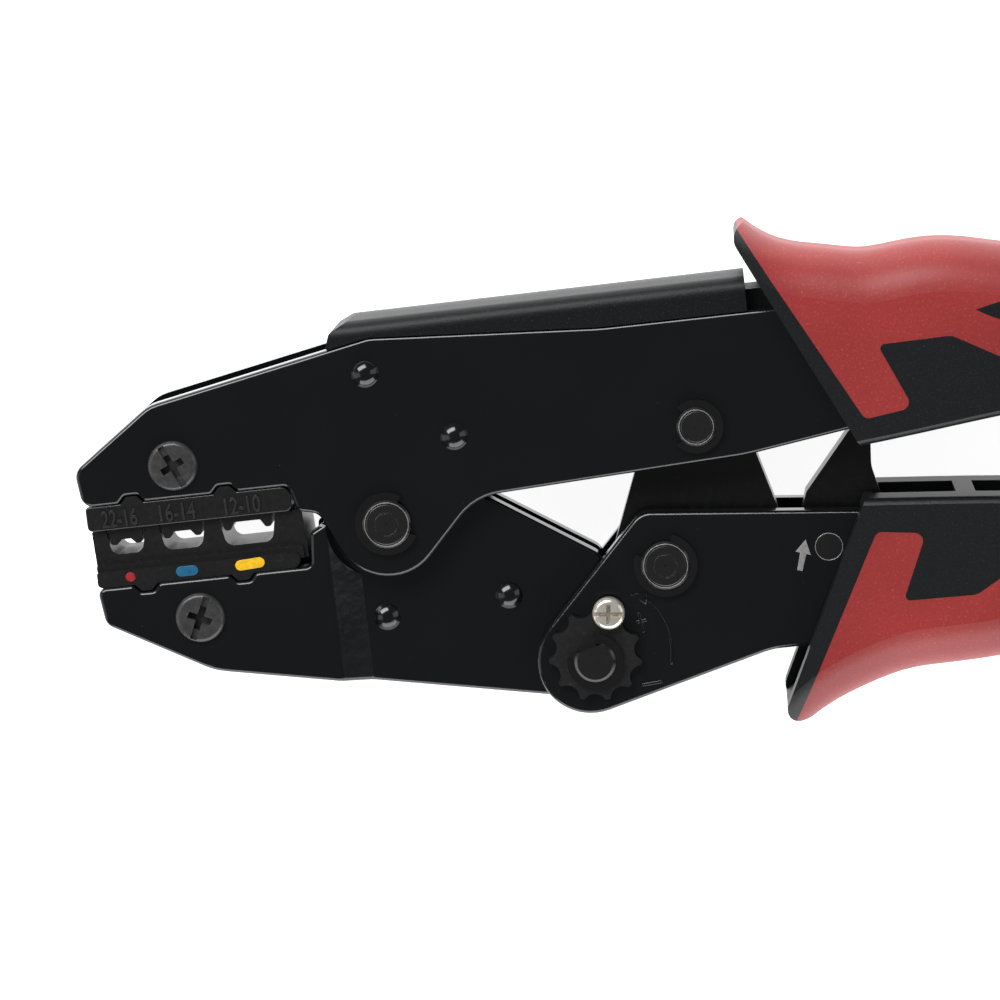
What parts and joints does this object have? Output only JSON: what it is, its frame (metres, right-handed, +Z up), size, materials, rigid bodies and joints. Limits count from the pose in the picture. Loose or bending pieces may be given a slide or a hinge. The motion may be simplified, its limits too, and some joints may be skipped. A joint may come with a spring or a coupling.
{
  "type": "ratcheting crimping pliers",
  "caption": "Ratcheting crimping pliers for insulated wire terminals: fixed and moving jaw with nested dies, toggle link, ratchet pawl and two ribbed hand grips.",
  "frame": {"origin": "bottom centre of the closed tool's bounding box, on the plane it lies on", "axes": "+X from the nose to the handle ends, +Y from the moving handle to the fixed handle, +Z up out of the face with the star wheel"},
  "size_m": [0.2352, 0.0776, 0.0228],
  "materials": {
    "black_painted_plate": "glossy black paint",
    "black_grip_plastic": "satin moulded",
    "red_soft_grip": "soft satin",
    "black_cover_plastic": "satin moulded",
    "die_steel": "blackened steel, satin",
    "nickel_screw": "bright nickel",
    "blackened_fastener": "blackened, satin",
    "spring_steel": "drawn wire",
    "black_link_steel": "blackened, satin",
    "blackened_pin": "blackened, turned"
  },
  "bodies": {
    "frame": {"upper_plate_front": "black_painted_plate", "upper_plate_back": "black_painted_plate", "spine_cover": "black_cover_plastic", "upper_die": "die_steel", "upper_die_screw": "blackened_fastener", "frame_rivets": "blackened_fastener", "main_pivot_pin": "blackened_pin", "main_pivot_clip": "blackened_pin", "link_pin": "blackened_pin", "link_pin_clip": "blackened_pin", "return_spring_post": "blackened_pin", "upper_grip_core": "black_grip_plastic", "upper_grip_overmold": "red_soft_grip", "return_spring": "spring_steel"},
    "lower_jaw": {"lower_jaw_plate_front": "black_painted_plate", "lower_jaw_plate_back": "black_painted_plate", "lower_die": "die_steel", "lower_die_screw": "blackened_fastener", "jaw_rivets": "blackened_fastener"},
    "toggle_link": {"toggle_link": "black_link_steel", "return_spring_pin": "blackened_pin"},
    "lower_handle": {"lower_handle_plate_front": "black_painted_plate", "lower_handle_plate_back": "black_painted_plate", "handle_pin": "blackened_pin", "handle_pin_clip": "blackened_pin", "adjuster_pin": "blackened_pin", "adjuster_clip": "blackened_pin", "star_wheel": "blackened_pin", "lock_screw": "nickel_screw", "pawl_pin": "blackened_pin", "pawl_spring_post": "blackened_pin", "lower_grip_core": "black_grip_plastic", "lower_grip_overmold": "red_soft_grip", "pawl_spring": "spring_steel"},
    "ratchet_pawl": {"ratchet_pawl": "black_link_steel"}
  },
  "joints": [
    {"name": "toggle_pivot", "type": "hinge", "parent": "frame", "child": "toggle_link", "pos_m": [-0.02137, 0.00881, 0.0114], "axis": [0, 0, 1], "range_deg": [0, 27.2], "deforming": ["return_spring"]},
    {"name": "handle_pivot", "type": "hinge", "parent": "toggle_link", "child": "lower_handle", "pos_m": [-0.02837, -0.01209, 0.0114], "axis": [0, 0, -1], "range_deg": [0, 58]},
    {"name": "jaw_pivot", "type": "hinge", "parent": "frame", "child": "lower_jaw", "pos_m": [-0.07037, -0.00109, 0.0114], "axis": [0, 0, 1], "range_deg": [0, 12.4]},
    {"name": "pawl_pivot", "type": "hinge", "parent": "lower_handle", "child": "ratchet_pawl", "pos_m": [-0.00317, -0.01199, 0.0114], "axis": [0, 0, 1], "range_deg": [-12, 25], "stiffness_Nm_per_rad": 0.02, "deforming": ["pawl_spring"]}
  ],
  "couplings": [
    {"joint": "toggle_pivot", "follows": "handle_pivot", "ratio": 0.465},
    {"joint": "jaw_pivot", "follows": "handle_pivot", "ratio": 0.21}
  ]
}
